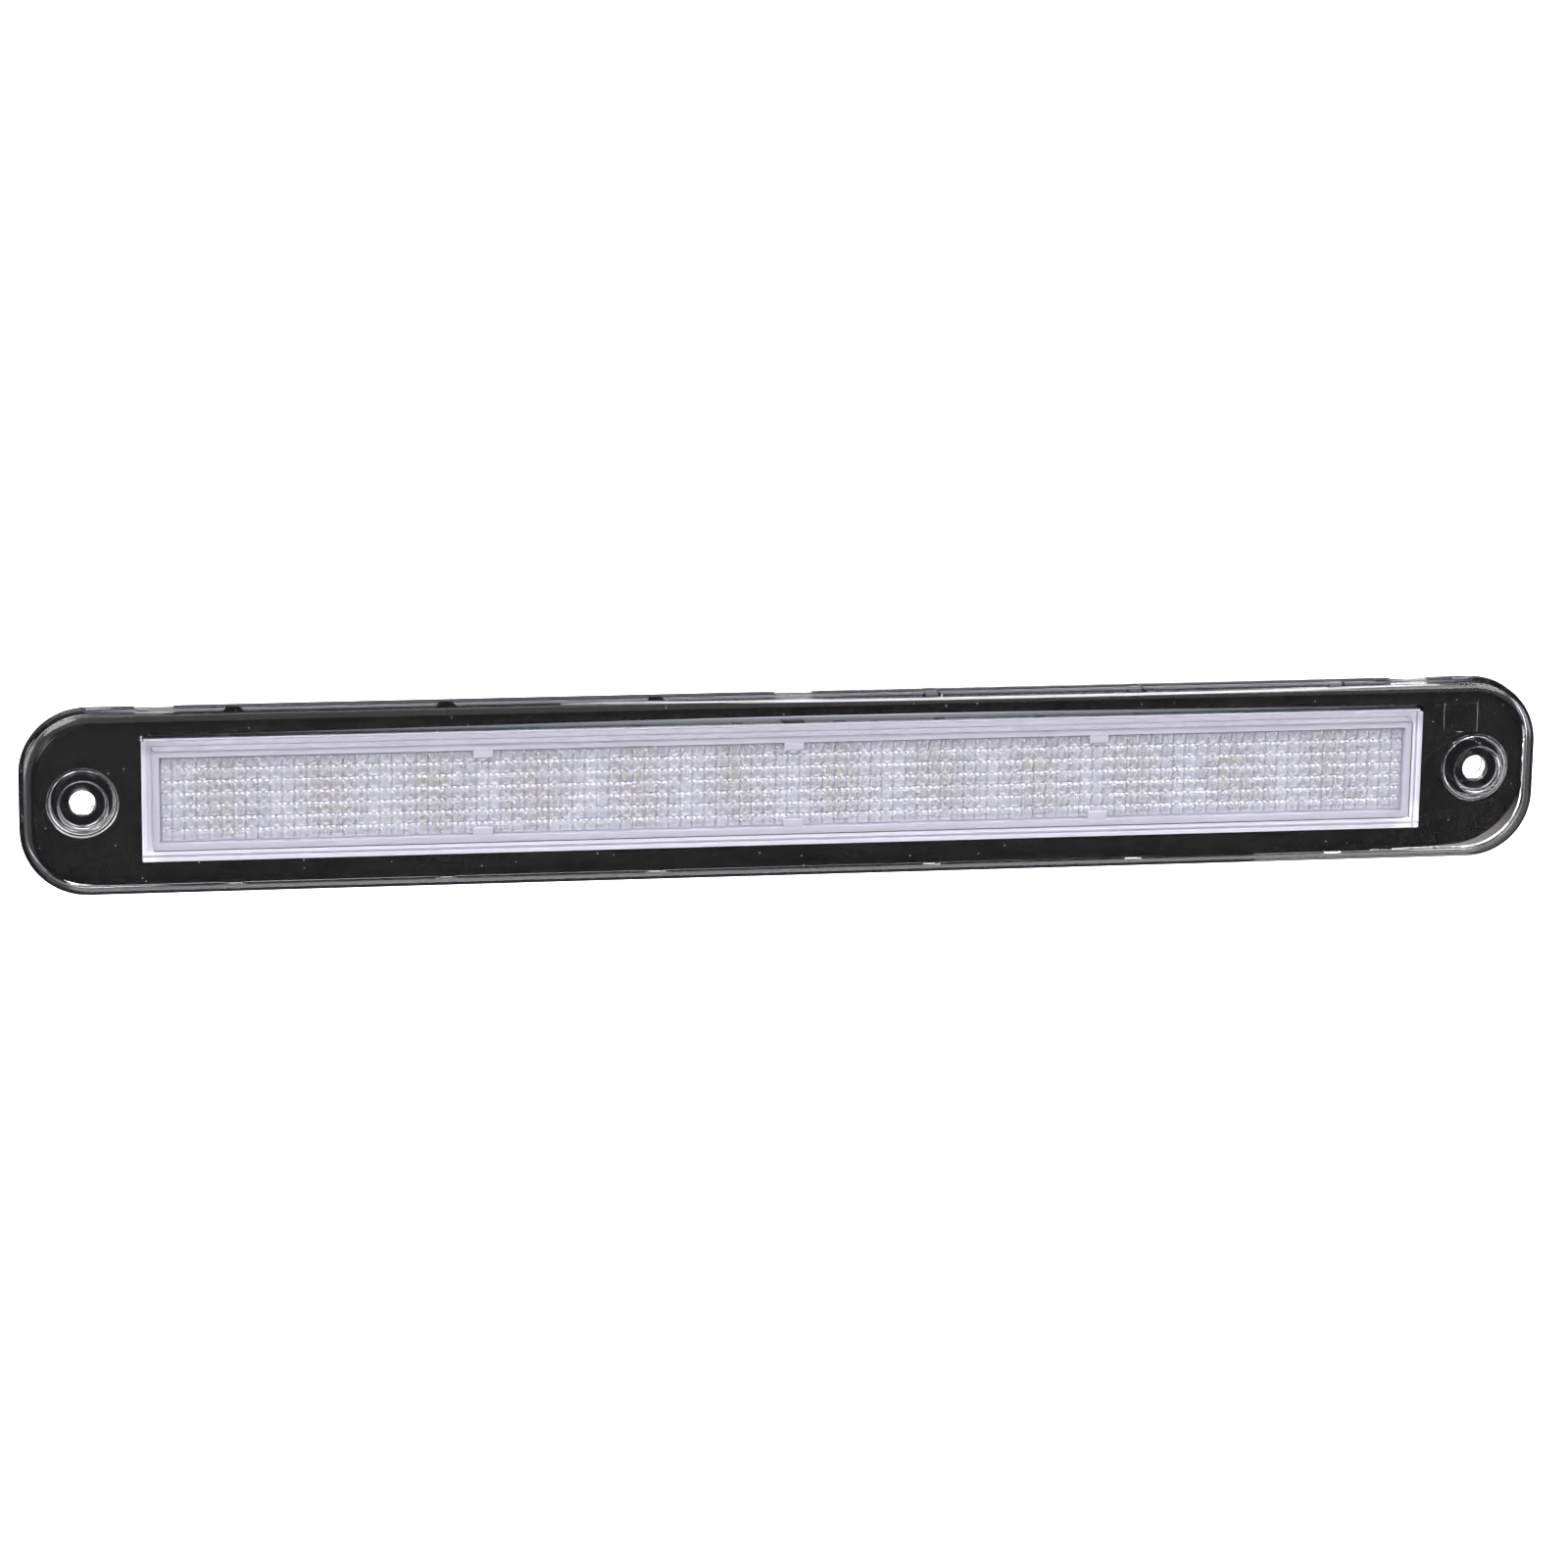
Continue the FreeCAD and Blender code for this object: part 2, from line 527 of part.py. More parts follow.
def build_led_domes():
    """Clear epoxy domes, one on each diode package."""
    body = new_body("led_domes")
    sketch = new_sketch(body, "dome_section", "XY_Plane", f"-{LED_SPAN} / 2",
                        f"{BOARD_FRONT} - package_depth")
    circle = Part.Circle(FreeCAD.Vector(), FreeCAD.Vector(0, 0, 1), 2)
    arc = sketch.addGeometry(Part.ArcOfCircle(circle, -math.pi / 2, 0))
    base = sketch.addGeometry(Part.LineSegment(FreeCAD.Vector(0, 0, 0), FreeCAD.Vector(2, 0, 0)))
    axis = sketch.addGeometry(Part.LineSegment(FreeCAD.Vector(0, -2, 0), FreeCAD.Vector(0, 0, 0)))
    sketch.addConstraint(Sketcher.Constraint("Coincident", base, 2, arc, 2))
    sketch.addConstraint(Sketcher.Constraint("Coincident", axis, 1, arc, 1))
    sketch.addConstraint(Sketcher.Constraint("Coincident", axis, 2, base, 1))
    sketch.addConstraint(Sketcher.Constraint("Coincident", base, 1, -1, 1))
    sketch.addConstraint(Sketcher.Constraint("Coincident", arc, 3, -1, 1))
    sketch.addConstraint(Sketcher.Constraint("Horizontal", base))
    sketch.addConstraint(Sketcher.Constraint("Vertical", axis))
    bound(sketch, "Radius", (arc,), 2.0, "dome", "dome_radius")
    dome = body.newObject("PartDesign::Revolution", "dome")
    dome.Profile = sketch
    dome.ReferenceAxis = (sketch, ["V_Axis"])
    dome.Angle = 360
    repeat(body, dome, LED_SPAN, "led_count")
    return body


def build_chips(label, width, height, depth, places):
    """Surface-mount parts on the rear of the board, each at (across, up)."""
    body = new_body(label)
    for number, (across, up) in enumerate(places, start=1):
        block(body, f"{label}_{number}", BOARD_BACK, f"{BOARD_BACK} + {depth}",
              width, height, str(across), str(up))
    return body


def build_board_screws():
    """Pan-head self-tapping screws that hold the board to the housing's posts."""
    body = new_body("board_screws")
    for name, across in (("near", "screw_near"), ("far", "screw_far")):
        head = post(body, "head_" + name, f"{BOARD_FRONT} - board_screw_cap", BOARD_FRONT,
                    "board_screw_head", "-" + across)
        pair(body, head, "2 * " + across)
        shank = post(body, "shank_" + name, BOARD_FRONT, f"{BOARD_FRONT} + board_screw_length",
                     "board_screw_radius", "-" + across)
        pair(body, shank, "2 * " + across)
        recess = opening(body, "recess_" + name, f"{BOARD_FRONT} - board_screw_cap",
                         f"{BOARD_FRONT} - 0.4 * board_screw_cap", "0.3 * board_screw_head",
                         "1.2 * board_screw_head", "-" + across)
        pair(body, recess, "2 * " + across)
    return body


def build_connector_socket():
    """Black two-way header: a neck through the housing and an open shroud behind it."""
    body = new_body("connector_socket")
    block(body, "shroud", SEAL_BACK, MOUTH, "socket_width", "socket_height")
    opening(body, "cavity", f"{SEAL_BACK} + socket_floor", MOUTH,
            "socket_width - 2 * socket_wall", "socket_height - 2 * socket_wall")
    block(body, "neck", BOARD_BACK, SEAL_BACK, "neck_width", "neck_height")
    block(body, "latch", f"{MOUTH} - 0.45 * socket_length", f"{MOUTH} - 0.2 * socket_length",
          "0.3 * socket_width", "2 * socket_wall", "0", "socket_height / 2 + socket_wall / 2")
    slot = opening(body, "pin_slot", BOARD_BACK, f"{SEAL_BACK} + socket_floor", "pin_width",
                   "pin_thickness", "-pin_pitch / 2")
    pair(body, slot, "pin_pitch")
    return body


def build_connector_seal():
    """Flat rubber seal between the housing's back wall and the shroud."""
    body = new_body("connector_seal")
    ring(body, "gasket", "housing_back", SEAL_BACK, ("socket_width", "socket_height"),
         ("neck_width + 2 * neck_gap", "neck_height + 2 * neck_gap"))
    return body


def build_terminal_pin(label, side):
    """Tin-plated brass blade from the board to the inside of the shroud."""
    blade = doc.addObject("Part::Box", label)
    blade.Label = label
    start = f"({BOARD_FRONT} - pin_tail)"
    blade.setExpression("Length", formula("pin_width"))
    blade.setExpression("Height", formula("pin_thickness"))
    blade.setExpression("Width", formula(f"{MOUTH} - pin_setback - {start}"))
    blade.setExpression("Placement.Base.x", formula(f"{side} * pin_pitch / 2 - pin_width / 2"))
    blade.setExpression("Placement.Base.y", formula(start))
    blade.setExpression("Placement.Base.z", formula("-pin_thickness / 2"))
    return blade


def build_pin_solder_joints():
    """Solder cones where the two pins come through the front of the board."""
    body = new_body("pin_solder_joints")
    foot = post(body, "foot", f"{BOARD_FRONT} - 0.4 * pin_tail", BOARD_FRONT,
                "0.9 * pin_width", "-pin_pitch / 2")
    pair(body, foot, "pin_pitch")
    crown = post(body, "crown", f"{BOARD_FRONT} - 0.8 * pin_tail",
                 f"{BOARD_FRONT} - 0.4 * pin_tail", "0.7 * pin_width", "-pin_pitch / 2")
    pair(body, crown, "pin_pitch")
    slot = opening(body, "pin_slot", f"{BOARD_FRONT} - pin_tail", BOARD_FRONT, "pin_width",
                   "pin_thickness", "-pin_pitch / 2")
    pair(body, slot, "pin_pitch")
    return body


def build_vent_plug():
    """Rubber plug in the back wall with a fine air passage."""
    body = new_body("vent_plug")
    cap_back = "(housing_back + vent_cap_height)"
    post(body, "stem", BACK_WALL, "housing_back", "vent_radius", "-vent_across")
    cap = post(body, "cap", "housing_back", cap_back, "vent_cap_radius", "-vent_across")
    rounding(body, "cap_edge", cap, lies_at(size("housing_back") + size("vent_cap_height")),
             "0.3 * vent_cap_height")
    bore(body, "passage", BACK_WALL, cap_back, "vent_bore", "-vent_across")
    bore(body, "membrane_seat", BACK_WALL, f"{BACK_WALL} + membrane_thickness",
         "membrane_radius", "-vent_across")
    return body


def build_vent_membrane():
    """Disc of breathable membrane in the plug's inner end."""
    body = new_body("vent_membrane")
    post(body, "disc", BACK_WALL, f"{BACK_WALL} + membrane_thickness", "membrane_radius",
         "-vent_across")
    return body


PIECES = [
    build_outer_lens(),
    build_foam_gasket(),
    build_housing(),
    build_optic_frame(),
    build_inner_optic(),
    build_reflector(),
    build_circuit_board(),
    build_led_bodies(),
    build_led_leads(),
    build_led_domes(),
    build_chips("series_resistors", "3.2", "1.6", "0.6", [(-80, -5), (-40, -5), (40, -5), (80, -5)]),
    build_chips("string_regulators", "4.5", "2.5", "1.5", [(-90, 3), (-50, 3), (50, 3), (90, 3)]),
    build_chips("filter_capacitors", "3.2", "1.6", "1.2", [(-12, -6), (12, -6)]),
    build_chips("polarity_diode", "4.3", "2.6", "2.2", [(30, 3)]),
    build_chips("surge_suppressor", "4.6", "3.6", "2.3", [(-30, 3)]),
    build_board_screws(),
    build_connector_socket(),
    build_connector_seal(),
    build_terminal_pin("terminal_pin_positive", "1"),
    build_terminal_pin("terminal_pin_ground", "-1"),
    build_pin_solder_joints(),
    build_vent_plug(),
    build_vent_membrane(),
]

doc.recompute()
for item in doc.Objects:
    if "Invalid" in item.State or "Error" in item.State:
        raise RuntimeError(f"{item.Name} is {item.State}")
    if item.TypeId in ("PartDesign::Pocket", "PartDesign::Groove"):
        if item.Shape.Volume >= item.BaseFeature.Shape.Volume:
            raise RuntimeError(f"{item.Name} cuts nothing")
for piece in PIECES:
    if piece.Shape.isNull() or not piece.Shape.isValid():
        raise RuntimeError(f"{piece.Label} has no valid shape")
for piece in PIECES:
    piece.Shape.exportStep(f"parts/{piece.Label}.step")
    print(piece.Label, len(piece.Shape.Solids), round(piece.Shape.Volume, 1))
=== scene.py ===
import math
import random

import bmesh
import bpy
from mathutils import Matrix, Vector


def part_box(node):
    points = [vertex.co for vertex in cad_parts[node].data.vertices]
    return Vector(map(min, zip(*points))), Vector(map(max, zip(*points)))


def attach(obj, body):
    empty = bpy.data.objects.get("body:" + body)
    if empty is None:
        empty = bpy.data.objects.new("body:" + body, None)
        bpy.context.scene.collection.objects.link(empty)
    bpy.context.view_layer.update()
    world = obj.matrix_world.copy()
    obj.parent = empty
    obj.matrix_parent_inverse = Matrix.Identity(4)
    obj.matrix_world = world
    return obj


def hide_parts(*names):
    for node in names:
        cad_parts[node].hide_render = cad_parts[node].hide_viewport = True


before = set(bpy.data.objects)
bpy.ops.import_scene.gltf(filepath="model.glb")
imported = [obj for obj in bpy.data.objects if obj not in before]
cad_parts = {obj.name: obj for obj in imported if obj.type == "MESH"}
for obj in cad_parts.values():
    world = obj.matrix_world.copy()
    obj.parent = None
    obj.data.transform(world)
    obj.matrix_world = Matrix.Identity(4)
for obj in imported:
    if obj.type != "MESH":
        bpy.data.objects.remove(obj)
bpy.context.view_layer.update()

# ---------------------------------------------------------------------------
# Outer lens. One moulding of clear acrylic: a face plate with a rounded rim, a
# skirt, two stepped screw bosses and a square collar behind the light window.
# It is injection moulded and polished, so it is glassy with faint flow marks.

MM = 0.001
lens_low, lens_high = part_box("outer_lens")
house_low, house_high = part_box("housing")

face_y = lens_low[1]
plate = 3.0 * MM
plate_back = face_y + plate
skirt_back = face_y + 5.5 * MM
boss_back = 0.0
collar_back = lens_high[1] - 0.08 * MM
lens_half = Vector((lens_high[0], lens_high[2]))
lens_corner = 13.0 * MM
rim_radius = 2.6 * MM
skirt_wall = 1.6 * MM
collar_half = Vector((house_high[0], house_high[2]))
collar_wall = 2.0 * MM
screw_x = 138.0 * MM
rear_rounding = 0.25 * MM
tray_fillet = 0.4 * MM
lug_places = (-109, -68.15, -27.3, 27.3, 68.15, 109)
notch_places = (-124, 0, 124)


def linear(hex_colour, alpha=1.0):
    """An sRGB hex colour as linear red, green, blue and alpha."""
    channels = [int(hex_colour[i:i + 2], 16) / 255 for i in (1, 3, 5)]
    return tuple(c / 12.92 if c <= 0.04045 else ((c + 0.055) / 1.055) ** 2.4
                 for c in channels) + (alpha,)


def add(tree, kind, inputs=None, **settings):
    """Add a shader node; an input given as a socket is linked, anything else is set."""
    node = tree.nodes.new(kind)
    for name, value in settings.items():
        setattr(node, name, value)
    for name, value in (inputs or {}).items():
        if isinstance(value, bpy.types.NodeSocket):
            tree.links.new(value, node.inputs[name])
        else:
            node.inputs[name].default_value = value
    return node


def new_material(name, **shader):
    """A principled material; returns it with its tree and its shader node."""
    material = bpy.data.materials.new(name)
    material.use_nodes = True
    tree = material.node_tree
    skin = tree.nodes["Principled BSDF"]
    for socket, value in shader.items():
        skin.inputs[socket.replace("_", " ")].default_value = value
    return material, tree, skin


def mesh_piece(bm, name, material, stands_for=(), sharp=30):
    """Turn a finished bmesh into a piece that rides on the lamp; broad flats stay flat."""
    bmesh.ops.recalc_face_normals(bm, faces=bm.faces)
    broad = 20 * MM * MM
    for face in bm.faces:
        face.smooth = True
    for edge in bm.edges:
        bend = edge.calc_face_angle(math.pi)
        beside_flat = any(face.calc_area() > broad for face in edge.link_faces)
        edge.smooth = bend < math.radians(1 if beside_flat else sharp)
    mesh = bpy.data.meshes.new(name)
    bm.to_mesh(mesh)
    bm.free()
    piece = bpy.data.objects.new(name, mesh)
    bpy.context.collection.objects.link(piece)
    mesh.materials.append(material)
    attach(piece, "root")
    if stands_for:
        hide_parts(*stands_for)
    return piece


def slab(half_x, half_z, front, back, corner=0.0, corner_steps=1):
    """A plate across the lamp with its four corners rounded."""
    bm = bmesh.new()
    bmesh.ops.create_cube(bm, size=1.0)
    bmesh.ops.scale(bm, vec=(2 * half_x, back - front, 2 * half_z), verts=bm.verts)
    bmesh.ops.translate(bm, vec=(0, (front + back) / 2, 0), verts=bm.verts)
    if corner:
        upright = [e for e in bm.edges if abs(e.verts[0].co.y - e.verts[1].co.y) > 1e-6]
        bmesh.ops.bevel(bm, geom=upright, offset=corner, segments=corner_steps,
                        profile=0.5, affect="EDGES", material=-1)
    return bm


def face_at(bm, depth, near=Vector((0, 0))):
    """The flat face across the lamp at a depth, nearest to a point of it."""
    flat = [f for f in bm.faces if all(abs(v.co.y - depth) < 1e-6 for v in f.verts)]
    return min(flat, key=lambda f: (f.calc_center_median().xz - near).length)


def turned(profile, centre_x, steps=64):
    """A solid of revolution about a screw or cup axis from (radius, depth) points."""
    bm = bmesh.new()
    verts = [bm.verts.new((centre_x + r, y, 0)) for r, y in profile]
    edges = [bm.edges.new(ends) for ends in zip(verts, verts[1:])]
    bmesh.ops.spin(bm, geom=verts + edges, cent=(centre_x, 0, 0), axis=(0, 1, 0),
                   angle=math.tau, steps=steps, use_merge=True)
    bmesh.ops.holes_fill(bm, edges=bm.edges, sides=0)
    bmesh.ops.recalc_face_normals(bm, faces=bm.faces)
    return bm


def arc(centre_r, centre_y, radius, start, end, steps):
    """Points on a round edge of a turned profile, angles in degrees."""
    turns = [math.radians(start + (end - start) * i / steps) for i in range(steps + 1)]
    return [(centre_r + radius * math.cos(t), centre_y + radius * math.sin(t)) for t in turns]


def combine(bm, tools, operation):
    """Join or cut a bmesh with others, exactly, and give the result."""
    def stand_in(shape):
        mesh = bpy.data.meshes.new("tool")
        shape.to_mesh(mesh)
        shape.free()
        item = bpy.data.objects.new("tool", mesh)
        bpy.context.collection.objects.link(item)
        return item

    base = stand_in(bm)
    cutters = [stand_in(tool) for tool in tools]
    for cutter in cutters:
        step = base.modifiers.new("step", "BOOLEAN")
        step.operation = operation
        step.solver = "EXACT"
        step.object = cutter
    evaluated = base.evaluated_get(bpy.context.evaluated_depsgraph_get())
    result = bmesh.new()
    result.from_mesh(evaluated.to_mesh())
    evaluated.to_mesh_clear()
    for item in [base] + cutters:
        mesh = item.data
        bpy.data.objects.remove(item)
        bpy.data.meshes.remove(mesh)
    bmesh.ops.remove_doubles(result, verts=result.verts, dist=1e-7)
    return result


lens = slab(lens_half.x, lens_half.y, face_y, skirt_back, lens_corner, 20)
rim_edges = list(face_at(lens, face_y).edges)
bmesh.ops.bevel(lens, geom=rim_edges, offset=rim_radius, segments=10, profile=0.5,
                affect="EDGES", material=-1)
rear_edges = list(face_at(lens, skirt_back).edges)
bmesh.ops.bevel(lens, geom=rear_edges, offset=rear_rounding, segments=2, profile=0.5,
                affect="EDGES", material=-1)
floor_face = face_at(lens, skirt_back)
bmesh.ops.inset_region(lens, faces=[floor_face], thickness=skirt_wall - rear_rounding,
                       use_even_offset=True)
tray = bmesh.ops.extrude_face_region(lens, geom=[floor_face])
bmesh.ops.translate(lens, vec=(0, plate_back - skirt_back, 0),
                    verts=[v for v in tray["geom"] if isinstance(v, bmesh.types.BMVert)])
bmesh.ops.delete(lens, geom=[floor_face], context="FACES_ONLY")
inner_edge = list(face_at(lens, plate_back).edges)
bmesh.ops.bevel(lens, geom=inner_edge, offset=tray_fillet, segments=3, profile=0.5,
                affect="EDGES", material=-1)

collar = slab(collar_half.x, collar_half.y, plate_back - 0.5 * MM, collar_back, 0.3 * MM, 3)
hollow = slab(collar_half.x - collar_wall, collar_half.y - collar_wall,
              plate_back, collar_back + 1 * MM, 0.4 * MM, 3)
boss_radius = 6.1 * MM
foot = 1.9 * MM
bosses = [turned([(boss_radius + 0.43 * foot, plate_back - 0.5 * MM)]
                 + arc(boss_radius + foot, plate_back + 0.819 * foot, foot, -125, -180, 6)
                 + arc(boss_radius - 0.3 * MM, boss_back - 0.3 * MM, 0.3 * MM, 0, 90, 3), x)
          for x in (-screw_x, screw_x)]
lugs = []
for x in lug_places:
    for side in (-1, 1):
        lug = slab(2.3 * MM, 0.25 * MM, plate_back - 0.2 * MM, plate_back + 1.2 * MM)
        for v in lug.verts:
            if v.co.y > plate_back:
                v.co.x *= 1.2 / 2.3
        bmesh.ops.translate(lug, vec=(x * MM, 0, side * (lens_half.y - skirt_wall - 0.05 * MM)),
                            verts=lug.verts)
        lugs.append(lug)
lens = combine(lens, [collar] + bosses + lugs, "UNION")

hole_radius, seat_radius, seat_depth, lip = 2.5 * MM, 4.6 * MM, 2.0 * MM, 0.45 * MM
well = ([(seat_radius + lip, face_y - 1 * MM)]
        + arc(seat_radius + lip, face_y + lip, lip, -90, -180, 5)
        + arc(seat_radius - 0.5 * MM, face_y + seat_depth - 0.5 * MM, 0.5 * MM, 0, 90, 4)
        + arc(hole_radius + 0.25 * MM, face_y + seat_depth + 0.25 * MM, 0.25 * MM, -90, -180, 3)
        + [(hole_radius, boss_back + 1 * MM)])
wells = [turned(well, x) for x in (-screw_x, screw_x)]
notches = []
for x in notch_places:
    notch = slab(3.7 * MM, 1.6 * MM, skirt_back - 1.6 * MM, skirt_back + 1 * MM)
    bmesh.ops.translate(notch, vec=(x * MM, 0, lens_half.y), verts=notch.verts)
    notches.append(notch)
mark = slab(3.55 * MM, 3.0 * MM, plate_back - 0.15 * MM, plate_back + 0.3 * MM)
mark = combine(mark, [slab(3.3 * MM, 2.75 * MM, plate_back - 1 * MM, plate_back + 1 * MM)],
               "DIFFERENCE")
bmesh.ops.translate(mark, vec=(134.4 * MM, 0, 10.5 * MM), verts=mark.verts)
lens = combine(lens, [hollow] + wells + notches + [mark], "DIFFERENCE")

# Polished acrylic: colourless and glassy, with faint flow marks from the mould.
acrylic, tree, skin = new_material("clear_acrylic_polished", Base_Color=linear("#FFFFFF"),
                                   Transmission_Weight=1.0, Roughness=0.0, IOR=1.49)
place = add(tree, "ShaderNodeTexCoord").outputs["Object"]
flow = add(tree, "ShaderNodeTexNoise", {"Vector": place, "Scale": 60.0, "Detail": 2.0})
ripple = add(tree, "ShaderNodeBump", {"Height": flow.outputs["Fac"], "Strength": 0.02,
                                      "Distance": 0.3 * MM})
tree.links.new(ripple.outputs["Normal"], skin.inputs["Normal"])
mesh_piece(lens, "outer_lens_moulding", acrylic, ["outer_lens"])

# ---------------------------------------------------------------------------
# Foam gasket. A ring die-cut from black closed-cell foam and pressed by hand
# against the back of the face plate, so its long edges wander a little. Its
# skin is matt, with fine pores and light specks of dust.

foam_low, foam_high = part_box("foam_gasket")
foam_half = Vector((foam_high[0], foam_high[2]))
foam_lift = 0.35 * MM


def top_sag(x):
    """How far the foam's upper edge has slipped down, right of the middle."""
    return 0.6 * MM * math.exp(-((x - 50 * MM) / (68 * MM)) ** 4)


def window_rise(x):
    """Gap between the foam and the top of the collar, widest in the middle."""
    return (0.85 + 1.1 * math.exp(-((x - 10 * MM) / (105 * MM)) ** 2)) * MM


foam = slab(foam_half.x, foam_half.y, foam_low[1] + 0.02 * MM, foam_high[1], 11.5 * MM, 14)
cutter = slab(collar_half.x + 0.1 * MM, collar_half.y + 0.05 * MM, foam_low[1] - 1 * MM,
              foam_high[1] + 1 * MM)
for shape in (foam, cutter):
    for i in range(-13, 14):
        bmesh.ops.bisect_plane(shape, geom=shape.verts[:] + shape.edges[:] + shape.faces[:],
                               plane_co=(i * 10 * MM, 0, 0), plane_no=(1, 0, 0))
for v in foam.verts:
    if v.co.z > 0:
        v.co.z += foam_lift - top_sag(v.co.x)
    for side, slip in ((1, 0.9), (-1, 0.8)):  # lower right and upper left corners
        past_end, past_edge = side * v.co.x - 126 * MM, -side * v.co.z - 5 * MM
        if past_end > 0 and past_edge > 0:
            pull = slip * past_end * past_edge / (14 * MM * 8 * MM) * MM
            v.co.x -= side * pull
            v.co.z += side * pull * 0.8
for v in cutter.verts:
    if v.co.z > 0:
        v.co.z += window_rise(v.co.x)
punches = [turned([(7.1 * MM, foam_low[1] - 1 * MM), (7.1 * MM, foam_high[1] + 1 * MM)], x)
           for x in (-screw_x, screw_x)]
foam = combine(foam, [cutter] + punches, "DIFFERENCE")

# Closed-cell foam: matt black, fine pores, a few light specks of dust.
foam_skin, tree, skin = new_material("closed_cell_foam_black", Roughness=0.9,
                                     Specular_IOR_Level=0.12)
place = add(tree, "ShaderNodeTexCoord").outputs["Object"]
cells = add(tree, "ShaderNodeTexVoronoi", {"Vector": place, "Scale": 1 / (0.35 * MM)})
cloud = add(tree, "ShaderNodeTexNoise", {"Vector": place, "Scale": 1 / (14 * MM), "Detail": 4.0})
speck = add(tree, "ShaderNodeTexVoronoi", {"Vector": place, "Scale": 1 / (2.6 * MM)})
dust = add(tree, "ShaderNodeMapRange", {"Value": speck.outputs["Distance"], "From Min": 0.03,
                                        "From Max": 0.075, "To Min": 1.0, "To Max": 0.0})
shade = add(tree, "ShaderNodeMix", {"Factor": cloud.outputs["Fac"], "A": linear("#121212"),
                                    "B": linear("#1C1B1A")}, data_type="RGBA")
dusty = add(tree, "ShaderNodeMix", {"Factor": dust.outputs["Result"], "A": shade.outputs["Result"],
                                    "B": linear("#8A8783")}, data_type="RGBA")
tree.links.new(dusty.outputs["Result"], skin.inputs["Base Color"])
pores = add(tree, "ShaderNodeBump", {"Height": cells.outputs["Distance"], "Strength": 0.4,
                                     "Distance": 0.1 * MM})
tree.links.new(pores.outputs["Normal"], skin.inputs["Normal"])
mesh_piece(foam, "foam_gasket_ring", foam_skin, ["foam_gasket"])

# ---------------------------------------------------------------------------
# Gap light. A white strip above the foam's upper edge, along the stretch that
# slipped, painted light for the bright gap seen there. It swells in the middle.

bead = bmesh.new()
stations = []
bead_start, bead_length, bead_steps, bead_rise = -46, 176, 60, 0.3 * MM
for step in range(bead_steps + 1):
    x = (bead_start + bead_length * step / bead_steps) * MM
    swell = bead_rise * math.sin(math.pi * step / bead_steps) ** 0.6 + 0.01 * MM
    edge_z = foam_half.y + foam_lift - top_sag(x)
    stations.append([bead.verts.new((x, plate_back + depth, edge_z + rise))
                     for depth, rise in ((0.03 * MM, 0.0), (0.03 * MM, swell),
                                         (0.3 * MM, 0.8 * swell), (0.3 * MM, 0.0))])
for near, far in zip(stations, stations[1:]):
    for i in range(4):
        bead.faces.new((near[i], near[(i + 1) % 4], far[(i + 1) % 4], far[i]))
bead.faces.new(stations[0])
bead.faces.new(stations[-1])
# Painted light: the strip's white stands in for light seen through the gap above the sagged foam
# edge.
painted_gap_light_skin, tree, skin = new_material("painted_gap_light_white", Roughness=0.35)
place = add(tree, "ShaderNodeTexCoord").outputs["Object"]
gap_light_mottle = add(tree, "ShaderNodeTexNoise", {"Vector": place, "Scale": 1 / (5 * MM), "Detail": 2.0})
gap_light_colour = add(tree, "ShaderNodeMix", {"Factor": gap_light_mottle.outputs["Fac"], "A": linear("#DEDDE4"),
                                   "B": linear("#FFFFFF")}, data_type="RGBA")
tree.links.new(gap_light_colour.outputs["Result"], skin.inputs["Base Color"])
mesh_piece(bead, "painted_gap_light_strip", painted_gap_light_skin)

# ---------------------------------------------------------------------------
# Optic frame. A satin lilac-grey moulding that drops into the collar and holds
# the inner optic with six small tabs; its front edges are softly rounded.


def grained(name, dark, light, grain, rough, metallic=0.0, relief=0.0, **shader):
    """A material that drifts between two colours, with an uneven sheen and a fine relief."""
    material, tree, skin = new_material(name, Metallic=metallic, **shader)
    place = add(tree, "ShaderNodeTexCoord").outputs["Object"]
    drift = add(tree, "ShaderNodeTexNoise", {"Vector": place, "Scale": 1 / grain, "Detail": 3.0})
    colour = add(tree, "ShaderNodeMix", {"Factor": drift.outputs["Fac"], "A": linear(dark),
                                         "B": linear(light)}, data_type="RGBA")
    tree.links.new(colour.outputs["Result"], skin.inputs["Base Color"])
    sheen = add(tree, "ShaderNodeMapRange", {"Value": drift.outputs["Fac"],
                                             "To Min": rough * 0.8, "To Max": rough * 1.2})
    tree.links.new(sheen.outputs["Result"], skin.inputs["Roughness"])
    if relief:
        texture = add(tree, "ShaderNodeTexNoise", {"Vector": place, "Scale": 1 / (0.25 * MM)})
        bump = add(tree, "ShaderNodeBump", {"Height": texture.outputs["Fac"], "Strength": 0.5,
                                            "Distance": relief})
        tree.links.new(bump.outputs["Normal"], skin.inputs["Normal"])
    return material


def dress(material, *nodes):
    for node in nodes:
        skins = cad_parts[node].data.materials
        skins.clear()
        skins.append(material)


ridge_low, ridge_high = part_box("optic_frame")
optic_low, optic_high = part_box("inner_optic")
optic_half = Vector((optic_high[0], optic_high[2]))
tab_pitch = 61 * MM
ring_half = collar_half - Vector((collar_wall, collar_wall)) - Vector((0.03, 0.03)) * MM
tab_depth = 0.7 * MM
ring = slab(ring_half.x, ring_half.y, ridge_low[1], ridge_high[1] - 0.05 * MM)
mouth = slab(optic_half.x + 0.1 * MM, optic_half.y + 0.1 * MM, ridge_low[1] - 1 * MM,
             ridge_high[1] + 1 * MM)
ring = combine(ring, [mouth], "DIFFERENCE")
front_edges = [e for e in ring.edges if all(abs(v.co.y - ridge_low[1]) < 1e-6 for v in e.verts)]
bmesh.ops.bevel(ring, geom=front_edges, offset=0.1 * MM, segments=2, profile=0.5,
                affect="EDGES", material=-1)
